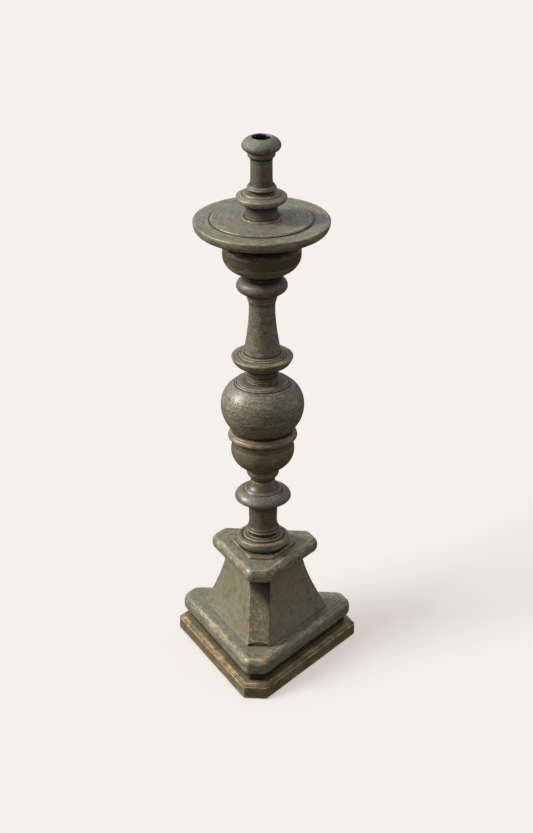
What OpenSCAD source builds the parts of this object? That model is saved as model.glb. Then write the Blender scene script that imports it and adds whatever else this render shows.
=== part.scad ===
// Turned and painted wooden candlestick on a three-sided moulded base.
// Millimetres, +Z up. The origin is on the column's axis, level with the
// underside of the felt. One corner of the base points along -Y.

/* [Base outline] */
// Distance from the axis to each long side of the plinth
plinth_side = 70.4; // [64:0.5:80]
// Distance from the axis to each cut corner of the plinth
plinth_corner = 116.9; // [106:0.5:128]
// How far the felt sheet sits inside the plinth's edge
felt_inset = 5; // [3:0.5:12]
// How far the spacer board sits inside the plinth's edge
spacer_inset = 11.7; // [8:0.5:14]
// How far the lower slab sits inside the plinth's edge
slab_inset = 4; // [2:0.2:6]
// Distance from the axis to each long side of the upper slab
cap_side = 44.6; // [42:0.2:48]
// Distance from the axis to each cut corner of the upper slab
cap_corner = 66.8; // [62:0.5:72]
// Distance from the axis to each long side of the thin pad under the column
pad_side = 29.7; // [28:0.5:34]
// Distance from the axis to each cut corner of the thin pad
pad_corner = 36.8; // [36:0.5:44]

/* [Base heights] */
// Thickness of the felt sheet under the plinth
felt_h = 2; // [1:0.5:4]
// Height of the plinth's plain band, below its reeds
band_h = 14.8; // [10:0.2:18]
// Size of each reed along the plinth's top edge
reed = 1.6; // [1:0.1:2]
// Thickness of the spacer board
spacer_h = 8.5; // [6:0.5:12]
// Thickness of the lower slab
slab_h = 21.2; // [18:0.5:24]
// Height of the flared side panels
panel_h = 77.8; // [60:1:100]
// Thickness of the upper slab
cap_h = 17; // [16:0.5:24]
// Thickness of the thin pad under the column
pad_h = 2.7; // [2:0.1:5]

/* [Pedestal] */
// Distance from the axis to a panel's face at its foot
flare_foot = 50; // [47:0.2:53]
// Distance from the axis to a panel's face at its top
flare_top = 33.4; // [31:0.2:36]
// How sharply the panels sweep out at their foot
flare_power = 1.36; // [1:0.05:2]
// Thickness of a side panel
panel_t = 9; // [7:0.5:11]
// Width of a corner strip
strip_w = 24.6; // [20:0.2:26]
// Thickness of a corner strip
strip_t = 6; // [4:0.5:8]
// Gap left under a corner strip's foot
strip_gap = 1.6; // [0.5:0.1:3]
// Height of the arch cut into a corner strip's foot
strip_arch = 3; // [1:0.2:5]

/* [Column] */
// Radius of the foot's large ring
foot_r = 31; // [28:0.5:34]
// Radius of the stem above the foot
stem_r = 16.5; // [14:0.5:18]
// Radius of the lower knop
knop_r = 33; // [30:0.5:36]
// Radius of the lower cup
cup_r = 37.1; // [34:0.5:40]
// Radius of the ring round the cup's mouth
cup_ring_r = 40.5; // [39:0.5:44]
// Radius of the ball
ball_r = 48.6; // [45:0.5:52]
// Radius of the saucer at the trumpet's foot
saucer_r = 35.9; // [32:0.5:40]
// Radius of the trumpet at its waist
trumpet_r = 15; // [13:0.5:17]
// Radius of the upper knop
upper_knop_r = 29.6; // [27:0.5:32]
// Radius of the bowl under the drip plate
bowl_r = 45.2; // [42:0.5:48]

/* [Drip plate and candle cup] */
// Radius of the drip plate
plate_r = 78.3; // [70:0.5:86]
// Radius of the drip plate's raised middle
plate_step_r = 58.8; // [50:0.5:64]
// Radius of the small disc under the candle cup
disc_r = 29.1; // [26:0.5:32]
// Radius of the candle cup's rim
rim_r = 22.5; // [20:0.5:26]
// Radius of the candle cup's neck
neck_r = 12.6; // [12.2:0.2:14]
// Radius of the candle hole, inside its metal liner
candle_r = 11; // [10:0.1:11.5]
// Depth of the candle hole
candle_depth = 24; // [16:1:26]
// Wall thickness of the metal liner
liner_t = 0.5; // [0.3:0.1:0.8]

/* [Joints] */
// Radius of the round tenons between the turned pieces
tenon_r = 8; // [6:0.5:9]
// Length of the round tenons
tenon_l = 13; // [8:1:14]
// Glue clearance round and under each tenon
glue = 0.15; // [0.1:0.05:0.3]
// Radius of the foot's through tenon, which goes down through the upper slab
foot_tenon_r = 12; // [10:0.5:14]

/* [Hidden] */
$fn = 96;

// Directions of the base's sides and corners, in degrees from +X
SIDE_LEFT = 210;
SIDE_RIGHT = 330;
SIDE_BACK = 90;
CORNER_FRONT = -90;
CORNER_RIGHT = 30;
CORNER_LEFT = 150;
SIDES = [SIDE_LEFT, SIDE_RIGHT, SIDE_BACK];
CORNERS = [CORNER_FRONT, CORNER_RIGHT, CORNER_LEFT];

// Colours: worn grey-green paint over wood, felt, steel and blackened sheet
PAINT = [0.42, 0.42, 0.37];
PAINT_DARK = [0.35, 0.35, 0.30];
WOOD = [0.66, 0.52, 0.36];
FELT = [0.20, 0.20, 0.19];
STEEL = [0.55, 0.55, 0.56];
DARK_METAL = [0.13, 0.14, 0.16];

// The lower slab's cut corners sit a little further in than its long sides
slab_corner_inset = slab_inset + 1.6;

// Levels of the base, from the floor up
plinth_z = felt_h;
plinth_h = band_h + 2 * reed;
spacer_z = plinth_z + plinth_h;
slab_z = spacer_z + spacer_h;
panel_z = slab_z + slab_h;
cap_z = panel_z + panel_h;
pad_z = cap_z + cap_h;

// Heights of the turned pieces and their levels
foot_h = 16;
stem_h = 70;
lower_cup_h = 64.5;
ball_h = 63;
trumpet_h = 102.4;
upper_knop_h = 30;
bowl_h = 53.5;
plate_h = 15.5;
disc_h = 31;
candle_cup_h = 65;
foot_z = pad_z + pad_h;
stem_z = foot_z + foot_h;
lower_cup_z = stem_z + stem_h;
ball_z = lower_cup_z + lower_cup_h;
trumpet_z = ball_z + ball_h;
upper_knop_z = trumpet_z + trumpet_h;
bowl_z = upper_knop_z + upper_knop_h;
plate_z = bowl_z + bowl_h;
disc_z = plate_z + plate_h;
candle_cup_z = disc_z + disc_h;
top_z = candle_cup_z + candle_cup_h;

// Length of the candle cup's spigot, through the disc and plate into the bowl
spigot_l = disc_h + plate_h + 24;
liner_r = candle_r + liner_t;

// Wood screws: shank and head radii, and where each set stands
screw_r = 2;
screw_head_r = 4;
screw_head_h = 2.6;
plinth_screw_at = 78;
plinth_screw_l = 40;
slab_screw_at = 58;
slab_screw_l = 36;
cap_screw_at = 30;
cap_screw_l = 36;

// Reach used where a cutting shape has to pass right through
FAR = 130;
EPS = 0.01;

// Points along an elliptical arc about (cx, cz), from angle a0 to a1
function arc(cx, cz, rx, rz, a0, a1, n = 10) =
    [for (i = [0:n]) let (a = a0 + (a1 - a0) * i / n) [cx + rx * cos(a), cz + rz * sin(a)]];

// A half-round bead that stands out from radius r, between heights z0 and z1
function bead(r, out, z0, z1, n = 8) = arc(r, (z0 + z1) / 2, out, (z1 - z0) / 2, -90, 90, n);

// Distance of a panel's face from the axis, t = 0 at its foot and 1 at its top
function flare(t) = flare_top + (flare_foot - flare_top) * pow(1 - t, flare_power);

// Distance of a corner strip's face from the axis, flush with both panels
function strip_face(t) = 2 * flare(t) - strip_w * cos(30);

// Edge of a bullnose board of height h, as offsets from its widest line
function bullnose(h, top_in, top_h, foot_in, foot_h) =
    concat(arc(-foot_in, foot_h, foot_in, foot_h, -90, 0, 7),
           arc(-top_in, h - top_h, top_in, top_h, 0, 90, 8));

// Edge of the plinth: a plain band, then two reeds stepping inwards
function reeded_edge() =
    concat([[-0.8, 0], [0, 0.8], [0, band_h - 0.4], [-0.4, band_h]],
           [for (i = [0:1], p = reed_arc(0.3 - reed * (i + 2), band_h + reed * i)) p]);
function reed_arc(x, z) = arc(x, z, reed - 0.5, reed, 0, 90, 4);

// A plain square edge with tiny arrises
function plain_edge(h, arris = 0.4) =
    [[-arris, 0], [0, arris], [0, h - arris], [-arris, h]];

// The half-space prism behind one edge: profile swept square to direction dir
module edge_prism(dir, dist, edge, h) {
    rotate([0, 0, dir])
        rotate([90, 0, 0])
            linear_extrude(height = 4 * FAR, center = true)
                polygon(concat([[-FAR, 0]], [for (p = edge) [dist + p[0], p[1]]], [[-FAR, h]]));
}

// A board with three long sides and three cut corners, mitred all round
module moulded_board(side, corner, h, edge) {
    intersection() {
        edge_prism(SIDE_LEFT, side, edge, h);
        edge_prism(SIDE_RIGHT, side, edge, h);
        edge_prism(SIDE_BACK, side, edge, h);
        edge_prism(CORNER_FRONT, corner, edge, h);
        edge_prism(CORNER_RIGHT, corner, edge, h);
        edge_prism(CORNER_LEFT, corner, edge, h);
    }
}

// Copies at a distance from the axis towards each corner of the base
module at_corners(dist) {
    for (dir = CORNERS)
        rotate([0, 0, dir])
            translate([dist, 0, 0])
                children();
}

// A countersunk wood screw, its head's flat face at z = 0 and its point up
module wood_screw(length) {
    rotate_extrude()
        polygon([[0, 0], [screw_head_r, 0], [screw_head_r, 0.4], [screw_r, screw_head_h],
                 [screw_r, length - 5], [0, length]]);
}

// The hole a wood screw fills
module screw_hole(length) {
    wood_screw(length);
    translate([0, 0, -1])
        cylinder(r = screw_head_r, h = 1 + EPS);
}

// A blind or through hole on the axis for a round tenon
module tenon_hole(z0, z1, r = tenon_r) {
    translate([0, 0, z0])
        cylinder(r = r + glue, h = z1 - z0);
}

// Lower end of a turned piece: its round tenon, with a small lead-in
function tenon(l = tenon_l, r = tenon_r) = [[0, -l], [r - 1, -l], [r, -l + 1], [r, 0]];

module felt_sheet() {
    color(FELT)
        moulded_board(plinth_side - felt_inset, plinth_corner - felt_inset,
                      felt_h, plain_edge(felt_h, 0.3));
}

module plinth() {
    color(PAINT)
        translate([0, 0, plinth_z])
            difference() {
                moulded_board(plinth_side, plinth_corner, plinth_h, reeded_edge());
                at_corners(plinth_screw_at)
                    screw_hole(plinth_screw_l);
            }
}

module plinth_screws() {
    color(STEEL)
        translate([0, 0, plinth_z])
            at_corners(plinth_screw_at)
                wood_screw(plinth_screw_l);
}

module spacer_board() {
    color(PAINT_DARK)
        difference() {
            translate([0, 0, spacer_z])
                moulded_board(plinth_side - spacer_inset, plinth_corner - spacer_inset,
                              spacer_h, plain_edge(spacer_h, 0.5));
            translate([0, 0, plinth_z])
                at_corners(plinth_screw_at)
                    screw_hole(plinth_screw_l);
        }
}

module lower_slab() {
    color(PAINT)
        difference() {
            translate([0, 0, slab_z])
                moulded_board(plinth_side - slab_inset, plinth_corner - slab_corner_inset,
                              slab_h, bullnose(slab_h, 5, 8, 6.5, 9));
            translate([0, 0, plinth_z])
                at_corners(plinth_screw_at)
                    screw_hole(plinth_screw_l);
            translate([0, 0, slab_z])
                at_corners(slab_screw_at)
                    screw_hole(slab_screw_l);
        }
}

module slab_screws() {
    color(STEEL)
        translate([0, 0, slab_z])
            at_corners(slab_screw_at)
                wood_screw(slab_screw_l);
}

// Outline of a flared wall in a plane through the axis, t from 0 to 1 in height
FLARE_STEPS = 16;
function flare_line(inset) =
    [for (i = [0:FLARE_STEPS]) let (t = i / FLARE_STEPS) [flare(t) - inset, t * panel_h]];
function strip_line(inset) =
    [for (i = [0:FLARE_STEPS]) let (t = i / FLARE_STEPS) [strip_face(t) - inset, t * panel_h]];

// A wall swept square to direction dir, between two lines in the plane of dir
module swept_wall(dir, width, outer, inner) {
    rotate([0, 0, dir])
        rotate([90, 0, 0])
            linear_extrude(height = width, center = true)
                polygon(concat(inner, [for (i = [len(outer) - 1:-1:0]) outer[i]]));
}

// The straight-sided prism that a corner strip is let into
module strip_seat(dir) {
    swept_wall(dir, strip_w, strip_line(-60), strip_line(strip_t));
}

// A flared side panel, bevelled at its ends where it meets the backs of the corner strips
module side_panel(dir) {
    translate([0, 0, panel_z])
        difference() {
            intersection() {
                swept_wall(dir, 4 * FAR, flare_line(0), flare_line(panel_t));
                rotate([0, 0, dir])
                    linear_extrude(height = panel_h)
                        polygon([[0, 0], [FAR, -FAR * tan(60)], [FAR, FAR * tan(60)]]);
            }
            strip_seat(dir + 60);
            strip_seat(dir - 60);
        }
}

module side_panel_left() {
    color(PAINT)
        side_panel(SIDE_LEFT);
}

module side_panel_right() {
    color(PAINT)
        side_panel(SIDE_RIGHT);
}

module side_panel_back() {
    color(PAINT)
        side_panel(SIDE_BACK);
}

// A corner strip with an arched foot, just clear of the slab below
module corner_strip(dir) {
    arch_r = (pow(strip_w / 2, 2) + pow(strip_arch, 2)) / (2 * strip_arch);
    translate([0, 0, panel_z])
        difference() {
            swept_wall(dir, strip_w, strip_line(0), strip_line(strip_t));
            rotate([0, 0, dir]) {
                translate([0, -strip_w, -1])
                    cube([FAR, 2 * strip_w, strip_gap + 1]);
                translate([0, 0, strip_gap + strip_arch - arch_r])
                    rotate([0, 90, 0])
                        cylinder(r = arch_r, h = FAR, $fn = 360);
            }
        }
}

module corner_strip_front() {
    color(PAINT)
        corner_strip(CORNER_FRONT);
}

module corner_strip_left() {
    color(PAINT)
        corner_strip(CORNER_LEFT);
}

module corner_strip_right() {
    color(PAINT)
        corner_strip(CORNER_RIGHT);
}

// Upright blocks glued into the three inner corners of the pedestal
module corner_blocks() {
    block_in = 24;
    color(WOOD)
        difference() {
            translate([0, 0, panel_z])
                intersection() {
                    union()
                        for (dir = CORNERS)
                            swept_wall(dir, 2 * block_in, strip_line(strip_t), strip_line(block_in));
                    swept_wall(SIDE_LEFT, 4 * FAR, flare_line(panel_t), flare_line(2 * FAR));
                    swept_wall(SIDE_RIGHT, 4 * FAR, flare_line(panel_t), flare_line(2 * FAR));
                    swept_wall(SIDE_BACK, 4 * FAR, flare_line(panel_t), flare_line(2 * FAR));
                }
            translate([0, 0, slab_z])
                at_corners(slab_screw_at)
                    screw_hole(slab_screw_l);
            translate([0, 0, pad_z])
                mirror([0, 0, 1])
                    at_corners(cap_screw_at)
                        screw_hole(cap_screw_l);
        }
}

module upper_slab() {
    color(PAINT)
        difference() {
            translate([0, 0, cap_z])
                moulded_board(cap_side, cap_corner, cap_h, bullnose(cap_h, 5, 7, 5.5, 8));
            tenon_hole(cap_z - 1, pad_z + 1, foot_tenon_r);
            translate([0, 0, pad_z])
                mirror([0, 0, 1])
                    at_corners(cap_screw_at)
                        screw_hole(cap_screw_l);
        }
}

module cap_screws() {
    color(STEEL)
        translate([0, 0, pad_z])
            mirror([0, 0, 1])
                at_corners(cap_screw_at)
                    wood_screw(cap_screw_l);
}

module column_pad() {
    color(PAINT)
        difference() {
            translate([0, 0, pad_z])
                moulded_board(pad_side, pad_corner, pad_h, plain_edge(pad_h, 0.5));
            tenon_hole(pad_z - 1, foot_z + 1, foot_tenon_r);
        }
}

// The wedge that spreads the foot's through tenon, and the kerf it fills
WEDGE_L = 14;
module wedge_shape() {
    translate([0, 0, cap_z])
        rotate([90, 0, 0])
            linear_extrude(height = 18, center = true)
                polygon([[-1.6, 0], [1.6, 0], [0.6, WEDGE_L], [-0.6, WEDGE_L]]);
}

module tenon_wedge() {
    color(WOOD)
        wedge_shape();
}

// Foot of the column: a large ring, fine steps and a groove
module foot_turning() {
    color(PAINT)
        difference() {
            translate([0, 0, foot_z])
                rotate_extrude()
                    polygon(concat(
                        tenon(cap_h + pad_h, foot_tenon_r),
                        [[25, 0], [24.6, 3]],
                        arc(foot_r - 3.4, 7, 3.4, 3.8, -90, 0, 6),
                        arc(foot_r - 2.2, 10.6, 2.2, 2.2, 0, 90, 5),
                        [[26.4, 12.8], [26.1, 12.2], [25.7, 12.8]],
                        arc(22.8, 12.8, 1, 2, 0, 90, 4),
                        [[19.5, 15.2], [19.2, foot_h], [0, foot_h]]));
            wedge_shape();
            tenon_hole(stem_z - tenon_l - 1, stem_z + 1);
        }
}

// Stem with the thin lip at its foot, the lower knop and the slope up to its neck
module stem_turning() {
    color(PAINT)
        difference() {
            translate([0, 0, stem_z])
                rotate_extrude()
                    polygon(concat(
                        tenon(),
                        [[15, 0], [14.6, 3.4]],
                        arc(17.4, 5.4, 2.6, 1.9, -90, 70, 7),
                        arc(stem_r + 3.2, 17.5, 3.2, 9.6, 247, 180, 6),
                        arc(stem_r + 1.6, 33, 1.2, 5, 180, 110, 4),
                        [[17.4, 39.8], [17.4, 41.8]],
                        arc(18, 48.6, knop_r - 18, 6.3, -90, 0, 10),
                        arc(21.6, 48.6, knop_r - 21.6, 9, 0, 78, 10),
                        [[23.4, 57.3], [22.9, 56.9], [22.4, 57.5]],
                        arc(21.4, 57.7, 1.1, 1, 0, 90, 4),
                        arc(24, 72, 9.8, 13.4, 252, 190, 8),
                        [[14, stem_h], [0, stem_h]]));
            tenon_hole(lower_cup_z - tenon_l - 1, lower_cup_z + 1);
        }
}

// Lower cup: a short ringed neck, the round cup and the ring at its mouth
module lower_cup() {
    ring = cup_ring_r - 35.5;
    color(PAINT)
        difference() {
            translate([0, 0, lower_cup_z])
                rotate_extrude()
                    polygon(concat(
                        tenon(),
                        [[14, 0]],
                        arc(19.4, 0, 5.2, 6.6, 175, 118, 5),
                        bead(17.2, 1.8, 7, 15.2, 6),
                        arc(1, 40.8, cup_r - 1, 29, -60, 14, 14),
                        arc(35.5, 58.8, ring, 4, -70, 0, 6),
                        arc(35.5, 58.8, ring, 4.8, 0, 48, 4),
                        [[cup_ring_r - 2.4, 62.4]],
                        arc(36.4, 62.6, 1.6, 1.9, 0, 90, 4),
                        [[0, lower_cup_h]]));
            tenon_hole(ball_z - tenon_l - 1, ball_z + 1, 10);
        }
}

// Ball with two incised rings round its flat top
module ball() {
    color(PAINT)
        difference() {
            translate([0, 0, ball_z])
                rotate_extrude()
                    polygon(concat(
                        tenon(tenon_l, 10),
                        arc(0, 33, ball_r, 43.7, -49, 0, 13),
                        arc(22, 33, ball_r - 22, 30.2, 4, 64, 12),
                        [[33.1, 60], [32.6, 59.9]],
                        arc(31.4, 60.8, 1, 1.5, 0, 110, 4),
                        [[30.1, 61.4]],
                        arc(28.8, 61.6, 1, 1.4, 0, 90, 4),
                        [[0, ball_h]]));
            tenon_hole(trumpet_z - tenon_l - 1, trumpet_z + 1, 10);
        }
}

// Trumpet: a reeded neck, the saucer with three fine rings and a flared shaft
module trumpet() {
    color(PAINT)
        difference() {
            translate([0, 0, trumpet_z])
                rotate_extrude()
                    polygon(concat(
                        tenon(tenon_l, 10),
                        [for (i = [0:2], p = bead(17.8, 1.1, 2.5 * i, 2.5 * (i + 1), 4)) p],
                        arc(20.4, 13.4, 2.8, 5, 180, 100, 5),
                        arc(20, 30, saucer_r - 21.2, 11.6, -88, -20, 10),
                        arc(saucer_r - 1.2, 30.6, 1.2, 1.6, -50, 90, 6),
                        [for (i = [0:2], p = fine_ring(27.8 - 3.1 * i, 33.2 + 1.5 * i)) p],
                        shaft_line(),
                        [[0, trumpet_h]]));
            tenon_hole(upper_knop_z - tenon_l - 1, upper_knop_z + 1);
        }
}

// A fine incised ring on the saucer's sloping top
function fine_ring(r, z) = [[r + 0.7, z - 0.3], [r, z - 0.9], [r - 0.5, z + 0.5]];

// The trumpet's side above the saucer, which is wide below, narrow at the waist
// and flared a little again at its top
SHAFT_STEPS = 18;
shaft_z0 = 37.6;
function shaft_line() =
    [for (i = [0:SHAFT_STEPS])
        let (t = i / SHAFT_STEPS)
        [trumpet_r + 6.6 * pow(1 - t, 2.1) + 2 * pow(t, 16), shaft_z0 + t * (trumpet_h - shaft_z0)]];

// Upper knop: a cove up to the round knop, with a small ring on top
module upper_knop() {
    color(PAINT)
        difference() {
            translate([0, 0, upper_knop_z])
                rotate_extrude()
                    polygon(concat(
                        tenon(),
                        [[17, 0]],
                        arc(19.4, 3.4, 1.8, 3, 200, 150, 3),
                        [[18, 8.4]],
                        arc(18.4, 16.6, upper_knop_r - 18.4, 8, -88, 0, 9),
                        arc(18.4, 16.6, upper_knop_r - 18.4, 9.4, 0, 84, 9),
                        bead(18.6, 1.4, 26, 28.6, 5),
                        [[17, 28.8], [16.8, upper_knop_h], [0, upper_knop_h]]));
            tenon_hole(bowl_z - tenon_l - 1, bowl_z + 1);
        }
}

// Bowl under the drip plate, with a bead and a neck below the plate
module bowl() {
    color(PAINT)
        difference() {
            translate([0, 0, bowl_z])
                rotate_extrude()
                    polygon(concat(
                        tenon(),
                        [[16.6, 0], [16.8, 1]],
                        [[16.8, 2.4], [17.4, 3.4]],
                        arc(20, 24.7, bowl_r - 20, 20.8, -90, 0, 14),
                        arc(bowl_r - 8, 30.4, 8, 8.6, 0, 90, 8),
                        [[36.6, 39], [36.6, 40.1]],
                        arc(46.6, 40.1, 10, 11.3, 180, 100, 7),
                        [[45.4, bowl_h - 1.6], [45.4, bowl_h], [0, bowl_h]]));
            tenon_hole(candle_cup_z - spigot_l - 1, plate_z + 1);
        }
}

// Drip plate with a rounded rim and a raised middle
module drip_plate() {
    rim_h = 12.9;
    color(PAINT)
        difference() {
            translate([0, 0, plate_z])
                rotate_extrude()
                    polygon(concat(
                        [[0, 0], [66, 0]],
                        arc(70, 11, plate_r - 70, 11, -84, 0, 10),
                        arc(plate_r - 1.6, rim_h - 1.6, 1.6, 1.6, 10, 90, 4),
                        [[plate_step_r + 1.2, rim_h + 0.6], [plate_step_r, rim_h + 0.6]],
                        arc(plate_step_r - 1.8, plate_h - 1.6, 1.8, 1.6, 10, 90, 4),
                        [[0, plate_h]]));
            tenon_hole(plate_z - 1, disc_z + 1);
        }
}

// Small disc under the candle cup, on its own foot ring and neck
module cup_disc() {
    color(PAINT)
        difference() {
            translate([0, 0, disc_z])
                rotate_extrude()
                    polygon(concat(
                        [[0, 0], [23.2, 0], [23.2, 1.2], [22.6, 2], [19.6, 2.2]],
                        arc(20.6, 10, 2.4, 7.6, 256, 180, 6),
                        arc(20.4, 15.4, 2.2, 3.4, 180, 90, 4),
                        arc(22.6, 25.2, disc_r - 22.6, 6.4, -90, 0, 7),
                        arc(disc_r - 1.4, 25.4, 1.4, 1.5, 10, 80, 4),
                        [[21.6, 29.6], [21.2, 30.2]],
                        arc(15.6, 31, 5, 0.6, -20, -90, 3),
                        [[0, disc_h - 0.6]]));
            tenon_hole(disc_z - 1, candle_cup_z + 1);
        }
}

// Candle cup: flared foot, neck, bead and a full round rim, with its spigot
module candle_cup() {
    color(PAINT)
        difference() {
            translate([0, 0, candle_cup_z - 0.6])
                rotate_extrude()
                    polygon(concat(
                        tenon(spigot_l - 0.6),
                        [[14.2, 0], [13.8, 4.2]],
                        arc(15.6, 5.8, 1.6, 1.4, -90, 70, 6),
                        arc(17.8, 16.4, 17.8 - neck_r, 8.8, 250, 180, 6),
                        [[neck_r, 37], [neck_r + 0.5, 40.6]],
                        bead(13.6, 2.4, 42.2, 49.4, 7),
                        arc(15.2, 55.4, rim_r - 15.2, 5.8, -90, 0, 8),
                        arc(5, 55.2, rim_r - 5, 11, 4, 68.2, 12),
                        [[0, candle_cup_h + 0.6]]));
            translate([0, 0, top_z - candle_depth - liner_t])
                cylinder(r = liner_r, h = candle_depth + 1);
        }
}

// Blackened sheet-metal liner pressed into the candle hole
module socket_liner() {
    color(DARK_METAL)
        translate([0, 0, top_z - candle_depth - liner_t])
            difference() {
                cylinder(r = liner_r, h = candle_depth - 0.6);
                translate([0, 0, liner_t])
                    cylinder(r = candle_r, h = candle_depth);
            }
}

felt_sheet();
plinth();
plinth_screws();
spacer_board();
lower_slab();
slab_screws();
side_panel_left();
side_panel_right();
side_panel_back();
corner_strip_front();
corner_strip_left();
corner_strip_right();
corner_blocks();
upper_slab();
cap_screws();
column_pad();
tenon_wedge();
foot_turning();
stem_turning();
lower_cup();
ball();
trumpet();
upper_knop();
bowl();
drip_plate();
cup_disc();
candle_cup();
socket_liner();
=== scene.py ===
"""Turned and painted wooden candlestick: the visual model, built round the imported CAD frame.

Everything is in metres, in the CAD's own frame: +Z up, the column's axis at x = y = 0, and one
corner of the three-sided base towards -Y.
"""

import math

import bpy
import numpy as np
from mathutils import Matrix, Vector


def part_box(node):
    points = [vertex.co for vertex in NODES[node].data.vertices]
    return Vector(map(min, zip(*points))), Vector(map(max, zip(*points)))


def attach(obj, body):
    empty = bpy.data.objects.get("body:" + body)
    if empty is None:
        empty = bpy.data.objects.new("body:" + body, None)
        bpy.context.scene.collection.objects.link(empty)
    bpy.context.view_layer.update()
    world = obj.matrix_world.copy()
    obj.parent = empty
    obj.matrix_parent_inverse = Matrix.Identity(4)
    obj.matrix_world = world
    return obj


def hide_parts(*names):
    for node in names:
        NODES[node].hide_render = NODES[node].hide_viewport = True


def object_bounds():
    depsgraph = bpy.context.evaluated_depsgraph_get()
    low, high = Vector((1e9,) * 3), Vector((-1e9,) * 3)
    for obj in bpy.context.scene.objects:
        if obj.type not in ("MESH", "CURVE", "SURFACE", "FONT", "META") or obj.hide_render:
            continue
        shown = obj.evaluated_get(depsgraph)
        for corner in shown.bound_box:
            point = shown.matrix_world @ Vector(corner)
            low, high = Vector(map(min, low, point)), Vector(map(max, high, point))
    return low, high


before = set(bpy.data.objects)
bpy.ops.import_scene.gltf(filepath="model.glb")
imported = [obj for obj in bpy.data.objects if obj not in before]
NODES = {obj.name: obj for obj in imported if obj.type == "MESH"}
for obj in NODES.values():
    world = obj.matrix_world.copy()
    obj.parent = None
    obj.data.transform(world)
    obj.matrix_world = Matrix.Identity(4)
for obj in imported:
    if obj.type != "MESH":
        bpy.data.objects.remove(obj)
CAD_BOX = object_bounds()
MM = 0.001

# ---------------------------------------------------------------- numbers

AROUND = 208  # points round a turned piece
ARRIS = 0.42 * MM  # how far a crisp corner is softened by handling and paint
SHARP_TURN = math.radians(32)  # a profile turns more than this only at a real corner
ROW_GAP = 1.5 * MM  # widest spacing of the rows on a surface that shows
HIDDEN_R = 12.35 * MM  # turned surfaces inside this radius are tenons and bores
DRUM = 30 * MM  # radius of the drum on which the turned pieces' paint strokes are laid out

# How far along a surface each kind of relief is felt: an arris, a hollow and a broad rounding
ARRIS_REACH = 1.1 * MM
HOLLOW_REACH = 2.5 * MM
BROAD_REACH = 6 * MM
CHIPPED_ABOVE = 0.16  # chips are knocked only out of edges that stand out more than this

# Points along a long side, along a cut corner, and round the bend between them
LONG_STEPS, SHORT_STEPS, BEND_STEPS = 64, 12, 5
BOARD_ROW_GAP = 2.2 * MM

# A turned CAD surface's circles and the strips between them have at least this many points
CIRCLE_POINTS = 24
STRIP_LINKS = 20

# The pedestal's walls
PANEL_ROWS = 84
STRIP_W = (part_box("corner_strip_front")[1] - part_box("corner_strip_front")[0]).x
STRIP_T = 6 * MM  # let in this deep behind the panels' faces
STRIP_ARCH = 3 * MM  # height of the arch in a strip's foot
STRIP_PROUD = 0.3 * MM  # the strips' worn arrises stand just above the panels
PANEL_T = 9 * MM
PANEL_STEPS = [2, 3, 46, 3, 2, 30]  # points along each edge of a panel's section
STRIP_STEPS = [5, 20, 5, 12]  # and of a strip's

# Directions of the base's edges in degrees, going round: cut corners and long sides in turn
EDGE_TURN = 60
FIRST_EDGE = -90

# ---------------------------------------------------------------- noise


def lattice(ix, iy, iz, seed):
    """A repeatable random number from -1 to 1 for each whole-number point."""
    h = ix * 374761393 + iy * 668265263 + iz * 2147483647 + seed * 974634777
    h = (h ^ (h >> 13)) * 1274126177
    h = h ^ (h >> 16)
    return (h & 0xFFFF) / 32767.5 - 1.0


def noise(points, size, seed):
    """Smooth noise from -1 to 1 at each point, with lumps of about the given size."""
    p = points / size
    cell = np.floor(p).astype(np.int64)
    f = p - cell
    f = f * f * (3 - 2 * f)
    total = np.zeros(len(p))
    for dx in (0, 1):
        for dy in (0, 1):
            for dz in (0, 1):
                weight = (
                    (f[:, 0] if dx else 1 - f[:, 0])
                    * (f[:, 1] if dy else 1 - f[:, 1])
                    * (f[:, 2] if dz else 1 - f[:, 2])
                )
                total += weight * lattice(cell[:, 0] + dx, cell[:, 1] + dy, cell[:, 2] + dz, seed)
    return total


# ---------------------------------------------------------------- profiles


def unit(v):
    return v / max(np.linalg.norm(v), 1e-12)


def turn_at(before, here, after):
    """How far a line turns at a point, in radians."""
    a, b = unit(here - before), unit(after - here)
    return math.acos(max(-1.0, min(1.0, float(a @ b))))


def refine(points, levels=3):
    """Interpolating subdivision of an open line that keeps its real corners crisp."""
    pts = [np.array(p, float) for p in points]
    inner = range(1, len(pts) - 1)
    sharp = [True, *(turn_at(*pts[i - 1 : i + 2]) > SHARP_TURN for i in inner), True]
    for _ in range(levels):
        fine, fine_sharp = [pts[0]], [sharp[0]]
        for i in range(len(pts) - 1):
            a, b = pts[i], pts[i + 1]
            gap = np.linalg.norm(b - a)
            middle = (a + b) / 2
            if gap > 0.25 * MM:
                before = b - a if sharp[i] else a - pts[i - 1]
                after = a - b if sharp[i + 1] else b - pts[i + 2]
                before = unit(before) * min(np.linalg.norm(before), gap)
                after = unit(after) * min(np.linalg.norm(after), gap)
                middle = middle + (before + after) / 16
                fine.append(middle)
                fine_sharp.append(False)
            fine.append(b)
            fine_sharp.append(sharp[i + 1])
        pts, sharp = fine, fine_sharp
    return pts, sharp


def soften(pts, sharp, arris):
    """Cuts each crisp corner back a little, leaving a small rounded arris."""
    out = [pts[0]]
    for i in range(1, len(pts) - 1):
        if not sharp[i]:
            out.append(pts[i])
            continue
        here = pts[i]
        back, ahead = pts[i - 1] - here, pts[i + 1] - here
        cut = min(arris, 0.42 * np.linalg.norm(back), 0.42 * np.linalg.norm(ahead))
        a, b = here + unit(back) * cut, here + unit(ahead) * cut
        out += [a, 0.25 * a + 0.5 * here + 0.25 * b, b]
    return out + [pts[-1]]


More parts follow.
